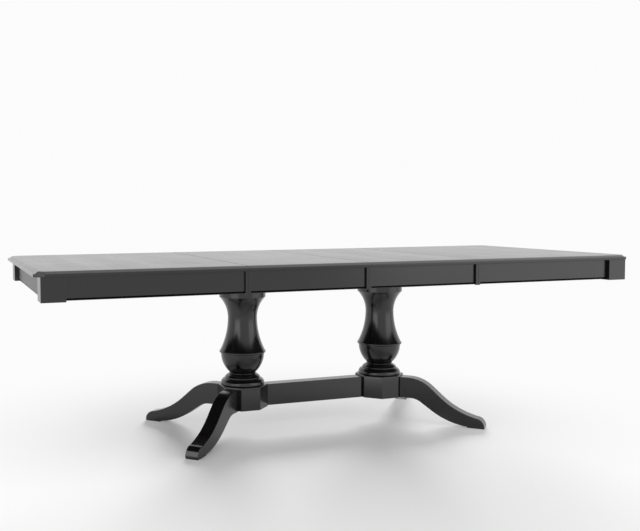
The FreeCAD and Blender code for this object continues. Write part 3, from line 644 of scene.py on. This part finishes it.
def columnProfile():
    shape = columnShape
    level = shape["foot"]
    profile = [(shape["bore"], level)]
    for ring in columnRings:
        radius = ring["radius"]
        edge = ring["edge"]
        low = level + edge
        bend = level + ring["band"]
        level += ring["height"]
        profile += arc((radius - edge, low - edge), (radius, low), (radius - edge, low),
                       arcSteps["edge"], leftTurn)
        profile += levelArc((radius, bend), (radius - ring["shoulder"], level), bend - ring["drop"],
                            arcSteps["shoulder"], leftTurn)
    beadRound = shape["beadHeight"] / 2
    inner = shape["bead"] - beadRound
    beadTop = level + shape["beadHeight"]
    profile += arc((inner, level), (inner, beadTop), (inner, level + beadRound), arcSteps["bead"], leftTurn)
    level = beadTop
    rimLevel = level + shape["bowlHeight"]
    profile += levelArc((shape["bowlFoot"], level), (shape["bowl"], rimLevel), rimLevel,
                        arcSteps["bowl"], leftTurn)
    rimEdge = rimLevel + shape["rimHeight"]
    profile += [(shape["rim"], rimLevel + shape["rimFlare"]), (shape["rim"], rimEdge)]
    flangeLevel = shape["top"] - shape["flangeHeight"]
    waistLevel = rimEdge + shape["waistShare"] * (flangeLevel - rimEdge)
    waist = (shape["waist"], waistLevel)
    vaseFoot = (shape["rim"] - shape["rimLedge"], rimEdge)
    profile += levelArc(vaseFoot, waist, waistLevel, arcSteps["vase"], rightTurn)
    profile += levelArc(waist, (shape["rim"], flangeLevel), waistLevel, arcSteps["neck"], rightTurn)[1:]
    profile += [(shape["rim"], shape["top"]), (shape["bore"], shape["top"])]
    return profile


def makeColumn(side):
    node = f"{side}_column"
    low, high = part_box(node)
    middle = (low.x + high.x) / 2
    piece = trace([(middle + radius, 0, level) for radius, level in columnProfile()])
    bpy.ops.mesh.select_all(action="SELECT")
    bpy.ops.mesh.spin(steps=columnShape["steps"], angle=2 * math.pi, center=(middle, 0, 0), axis=(0, 0, 1))
    bpy.ops.mesh.select_all(action="SELECT")
    bpy.ops.mesh.remove_doubles(threshold=tiny)
    bpy.ops.mesh.normals_make_consistent(inside=False)
    doneEditing()
    soften(piece, columnShape["arris"], segments=2, sharpest=columnShape["arrisAngle"])
    finish(piece, f"{side}Column", "base", columnLacquer, node)


for side in sides:
    makeColumn(side)
print("columns turned")


# Base: octagonal hubs, S-curved legs, the stretcher and the pads under the toes

# sinks are the holes for the bolts' heads; the right hub's point at its legs and at the stretcher
hubShape = {"sides": 8, "topRound": 0.004, "topSteps": 4, "arris": 0.0016,
            "cavity": 0.052, "cavityTop": 0.187, "cavityMargin": 0.02, "cavitySteps": 96,
            "sink": 0.008, "sinkReach": 0.058, "sinkStart": 0.0348, "sinkSteps": 24,
            "sinkLevels": (0.1336, 0.177), "sinkAngles": (-45, 45, 180)}


def cylinder(radius, depth, middle, count, turn=(0, 0, 0)):
    bpy.ops.object.select_all(action="DESELECT")
    bpy.ops.mesh.primitive_cylinder_add(vertices=count, radius=radius, depth=depth, location=middle,
                                        rotation=[math.radians(angle) for angle in turn])
    bpy.ops.object.transform_apply(location=True, rotation=True, scale=True)
    return bpy.context.active_object


def makeHub(side):
    way = sides[side]
    node = f"{side}_hub"
    low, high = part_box(node)
    middle = (low + high) / 2
    corner = (high.x - low.x) / 2 / math.cos(math.pi / hubShape["sides"])
    flatTurn = 180 / hubShape["sides"]
    piece = cylinder(corner, high.z - low.z, middle, hubShape["sides"], (0, 0, flatTurn))
    editing(piece)
    pick(piece, "EDGE", lambda edge: all(point.co.z > high.z - tiny for point in edge.verts))
    bpy.ops.mesh.bevel(offset=hubShape["topRound"], segments=hubShape["topSteps"], affect="EDGES")
    doneEditing()
    soften(piece, hubShape["arris"])
    cavityBottom = low.z - hubShape["cavityMargin"]
    cavityMiddle = (middle.x, 0, (cavityBottom + hubShape["cavityTop"]) / 2)
    carve(piece, cylinder(hubShape["cavity"], hubShape["cavityTop"] - cavityBottom, cavityMiddle,
                          hubShape["cavitySteps"]))
    sinkLength = hubShape["sinkReach"] - hubShape["sinkStart"]
    for angle in hubShape["sinkAngles"]:
        heading = Vector((way * math.cos(math.radians(angle)), math.sin(math.radians(angle)), 0))
        turn = math.degrees(math.atan2(heading.y, heading.x))
        for level in hubShape["sinkLevels"]:
            spot = Vector((middle.x, 0, level)) + heading * (hubShape["sinkStart"] + sinkLength / 2)
            carve(piece, cylinder(hubShape["sink"], sinkLength, spot, hubShape["sinkSteps"], (0, 90, turn)))
    finish(piece, f"{side}Hub", "base", hubLacquer, node)


# a leg's side view in its own plane: reach from the column, height and rounding at each corner
legShape = {
    "corners": ((0.102, 0.1086, 0), (0.179, 0.1086, 0.080), (0.331, 0.003, 0.324), (0.479, 0.003, 0),
                (0.479, 0.041, 0.0395), (0.4385, 0.0461, 0.060), (0.346, 0.072, 0.330),
                (0.199, 0.202, 0.154), (0.102, 0.202, 0)),
    "thickness": 0.057, "arris": 0.0024, "arcStep": math.radians(4), "leastSteps": 3,
    "angles": {"front": -45, "back": 45},
}


def legTurn(side, face):
    # the way a leg points, as an angle about Z
    angle = legShape["angles"][face]
    return math.radians(angle if sides[side] > 0 else 180 - angle)


def hubMiddle(side):
    low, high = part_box(f"{side}_hub")
    return (low.x + high.x) / 2


def roundedOutline(corners):
    # the outline with each rounded corner replaced by its arc
    points = []
    count = len(corners)
    for index, (x, y, radius) in enumerate(corners):
        corner = Vector((x, y))
        if radius == 0:
            points.append((x, y))
            continue
        back = (Vector(corners[index - 1][:2]) - corner).normalized()
        ahead = (Vector(corners[(index + 1) % count][:2]) - corner).normalized()
        half = back.angle(ahead) / 2
        start = corner + back * radius / math.tan(half)
        end = corner + ahead * radius / math.tan(half)
        centre = corner + (back + ahead).normalized() * radius / math.sin(half)
        turn = leftTurn if back.x * ahead.y - back.y * ahead.x < 0 else rightTurn
        steps = round((math.pi - 2 * half) / legShape["arcStep"])
        points += arc(start, end, centre, max(legShape["leastSteps"], steps), turn)
    return points


def makeLeg(side, face):
    name = f"{face}{side.capitalize()}Leg"
    outline = roundedOutline(legShape["corners"])
    half = legShape["thickness"] / 2
    piece = trace([(reach, -half, level) for reach, level in outline])
    bpy.ops.mesh.select_all(action="SELECT")
    bpy.ops.mesh.edge_face_add()
    bpy.ops.mesh.extrude_region_move(TRANSFORM_OT_translate={"value": (0, legShape["thickness"], 0)})
    bpy.ops.mesh.select_all(action="SELECT")
    bpy.ops.mesh.normals_make_consistent(inside=False)
    doneEditing()
    soften(piece, legShape["arris"])
    piece.rotation_euler.z = legTurn(side, face)
    piece.location.x = hubMiddle(side)
    choose(piece)
    bpy.ops.object.transform_apply(location=True, rotation=True, scale=True)
    grainTurn = (0, 0, -legShape["angles"][face] * sides[side])
    lacquered = blackLacquer(f"{name}Lacquer", grainTurn, baseSheen, legShine)
    finish(piece, name, "base", lacquered, f"{face}_{side}_leg")


padShape = {"arris": 0.0008, "start": 0.404, "length": 0.0735, "width": 0.054, "height": 0.003}


def makePad(side, face):
    halfLength = padShape["length"] / 2
    halfWidth = padShape["width"] / 2
    pad = block((-halfLength, -halfWidth, 0), (halfLength, halfWidth, padShape["height"]))
    soften(pad, padShape["arris"], segments=2)
    reach = padShape["start"] + halfLength
    turn = legTurn(side, face)
    pad.rotation_euler.z = turn
    pad.location.x = hubMiddle(side) + reach * math.cos(turn)
    pad.location.y = reach * math.sin(turn)
    choose(pad)
    bpy.ops.object.transform_apply(location=True, rotation=True, scale=True)
    return pad


stretcherShape = {"arris": 0.002}

for side in sides:
    makeHub(side)
    for face in faces:
        makeLeg(side, face)
stretcher = block(*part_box("stretcher"))
soften(stretcher, stretcherShape["arris"])
finish(stretcher, "stretcherRail", "base", stretcherLacquer, "stretcher")
pads = [makePad(side, face) for side in sides for face in faces]
finish(together(pads), "footPads", "base", padBlack, "foot_pads")
print("base made")


# CAD pieces that stay as they are get their finishes

carriedFinishes = {
    stainedLengthwise: ("front_slide_rail", "back_slide_rail", "rack_guides", "left_runners", "right_runners",
                        "left_apron_cleats", "right_apron_cleats", "left_leaf_cleats", "right_leaf_cleats",
                        "left_locating_pegs", "right_locating_pegs"),
    stainedCrosswise: ("left_bearer", "right_bearer", "gear_beam", "left_rack_brace", "right_rack_brace"),
    steel: ("base_bolts", "tie_rods", "tie_rod_nuts", "rail_screws", "pinion", "pinion_axle", "pinion_clip",
            "left_rack", "right_rack", "left_runner_screws", "right_runner_screws"),
    postLacquer: ("column_plates",),
}
for material, nodes in carriedFinishes.items():
    for node in nodes:
        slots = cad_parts[node].material_slots
        for index in range(len(slots)):
            slots[index].material = material
print("finishes put on the CAD pieces that stay")


# Studio: a pale floor that fades into a white surround, soft boxes and the camera

studio = {"floorSize": 60, "floorMiddle": (-0.31, -0.48, 0), "floorTone": 0.9, "floorRoughness": 0.9,
          "fadeStart": 0.27, "fadeEnd": 2.19, "white": 0.97, "ambient": 0.45, "aim": 0.4}


def makeFloor():
    bpy.ops.object.select_all(action="DESELECT")
    bpy.ops.mesh.primitive_plane_add(size=studio["floorSize"], location=studio["floorMiddle"])
    floor = bpy.context.active_object
    floor.name = "studioFloor"
    material, tree, shader = newMaterial("studioFloor")
    shader.inputs["Base Color"].default_value = [studio["floorTone"]] * 3 + [1]
    shader.inputs["Roughness"].default_value = studio["floorRoughness"]
    shader.inputs["Specular IOR Level"].default_value = 0
    place = addNode(tree, "ShaderNodeTexCoord")
    away = addNode(tree, "ShaderNodeVectorMath", operation="LENGTH")
    tree.links.new(place.outputs["Object"], away.inputs[0])
    fade = addNode(tree, "ShaderNodeMapRange", interpolation_type="SMOOTHSTEP")
    fade.inputs["From Min"].default_value = studio["fadeStart"]
    fade.inputs["From Max"].default_value = studio["fadeEnd"]
    tree.links.new(away.outputs["Value"], fade.inputs["Value"])
    glow = addNode(tree, "ShaderNodeEmission")
    glow.inputs["Color"].default_value = [studio["white"]] * 3 + [1]
    mix = addNode(tree, "ShaderNodeMixShader")
    tree.links.new(fade.outputs["Result"], mix.inputs["Fac"])
    tree.links.new(shader.outputs["BSDF"], mix.inputs[1])
    tree.links.new(glow.outputs["Emission"], mix.inputs[2])
    tree.links.new(mix.outputs["Shader"], tree.nodes["Material Output"].inputs["Surface"])
    floor.data.materials.append(material)


def makeSurround():
    # white to the eye and in reflections; dimmer where it lights the floor, so that shadows stay
    world = bpy.data.worlds.new("studioSurround")
    bpy.context.scene.world = world
    world.use_nodes = True
    tree = world.node_tree
    path = addNode(tree, "ShaderNodeLightPath")
    seen = addMath(tree, "ADD", path.outputs["Is Camera Ray"], path.outputs["Is Glossy Ray"])
    level = addRange(tree, seen, 0, 1, studio["ambient"], studio["white"])
    tree.links.new(level, tree.nodes["Background"].inputs["Strength"])
    tree.nodes["Background"].inputs["Color"].default_value = (1, 1, 1, 1)


# lamps: turn from straight ahead towards the right, rise and distance; the back light is far off
softBoxes = {
    "leftSoftBox": {"turn": -61, "rise": 30, "away": 4, "size": (2.7, 4.2), "power": 47},
    "rightSoftBox": {"turn": 46, "rise": 30, "away": 4, "size": (3.1, 4.2), "power": 35},
}
topBox = {"turn": 96, "rise": 66, "away": 4.3, "size": (2.5, 6.5), "power": 42}
backLight = {"turn": 152, "rise": 20, "away": 9, "spread": 24, "strength": 4.4}


def hangLamp(name, light, place):
    lamp = bpy.data.objects.new(name, light)
    bpy.context.scene.collection.objects.link(lamp)
    turn = math.radians(place["turn"])
    rise = math.radians(place["rise"])
    level = place["away"] * math.cos(rise)
    lamp.location = (level * math.sin(turn), -level * math.cos(turn), place["away"] * math.sin(rise))
    aim = Vector((0, 0, studio["aim"])) - lamp.location
    lamp.rotation_euler = aim.to_track_quat("-Z", "Y").to_euler()
    lamp.visible_camera = False
    return lamp


def makeSoftBox(name, box):
    light = bpy.data.lights.new(name, "AREA")
    light.shape = "RECTANGLE"
    light.size, light.size_y = box["size"]
    light.energy = box["power"]
    return hangLamp(name, light, box)


def makeBackLight():
    # a low, wide light that throws the soft shadows forward and shows in no reflection
    light = bpy.data.lights.new("backLight", "SUN")
    light.angle = math.radians(backLight["spread"])
    light.energy = backLight["strength"]
    hangLamp("backLight", light, backLight).visible_glossy = False


view = {"place": (-1.6072, -3.41954, 0.97702), "yaw": 19.17, "pitch": 3.22, "roll": -0.27,
        "lens": 47.31, "sensor": 36, "shiftX": 0.1489, "shiftY": -0.0166}


def makeCamera():
    lens = bpy.data.cameras.new("tableView")
    lens.lens = view["lens"]
    lens.sensor_width = view["sensor"]
    lens.shift_x = view["shiftX"]
    lens.shift_y = view["shiftY"]
    camera = bpy.data.objects.new("tableView", lens)
    bpy.context.scene.collection.objects.link(camera)
    camera.location = view["place"]
    camera.rotation_euler = (math.radians(90 - view["pitch"]), 0, math.radians(-view["yaw"]))
    camera.rotation_euler.rotate_axis("Z", math.radians(view["roll"]))
    bpy.context.scene.camera = camera


makeFloor()
makeSurround()
for name, box in softBoxes.items():
    makeSoftBox(name, box)
makeSoftBox("topBox", topBox).visible_diffuse = False  # only a gleam on the rim
makeBackLight()
makeCamera()
bpy.context.scene.view_settings.view_transform = "Standard"
print("studio ready")
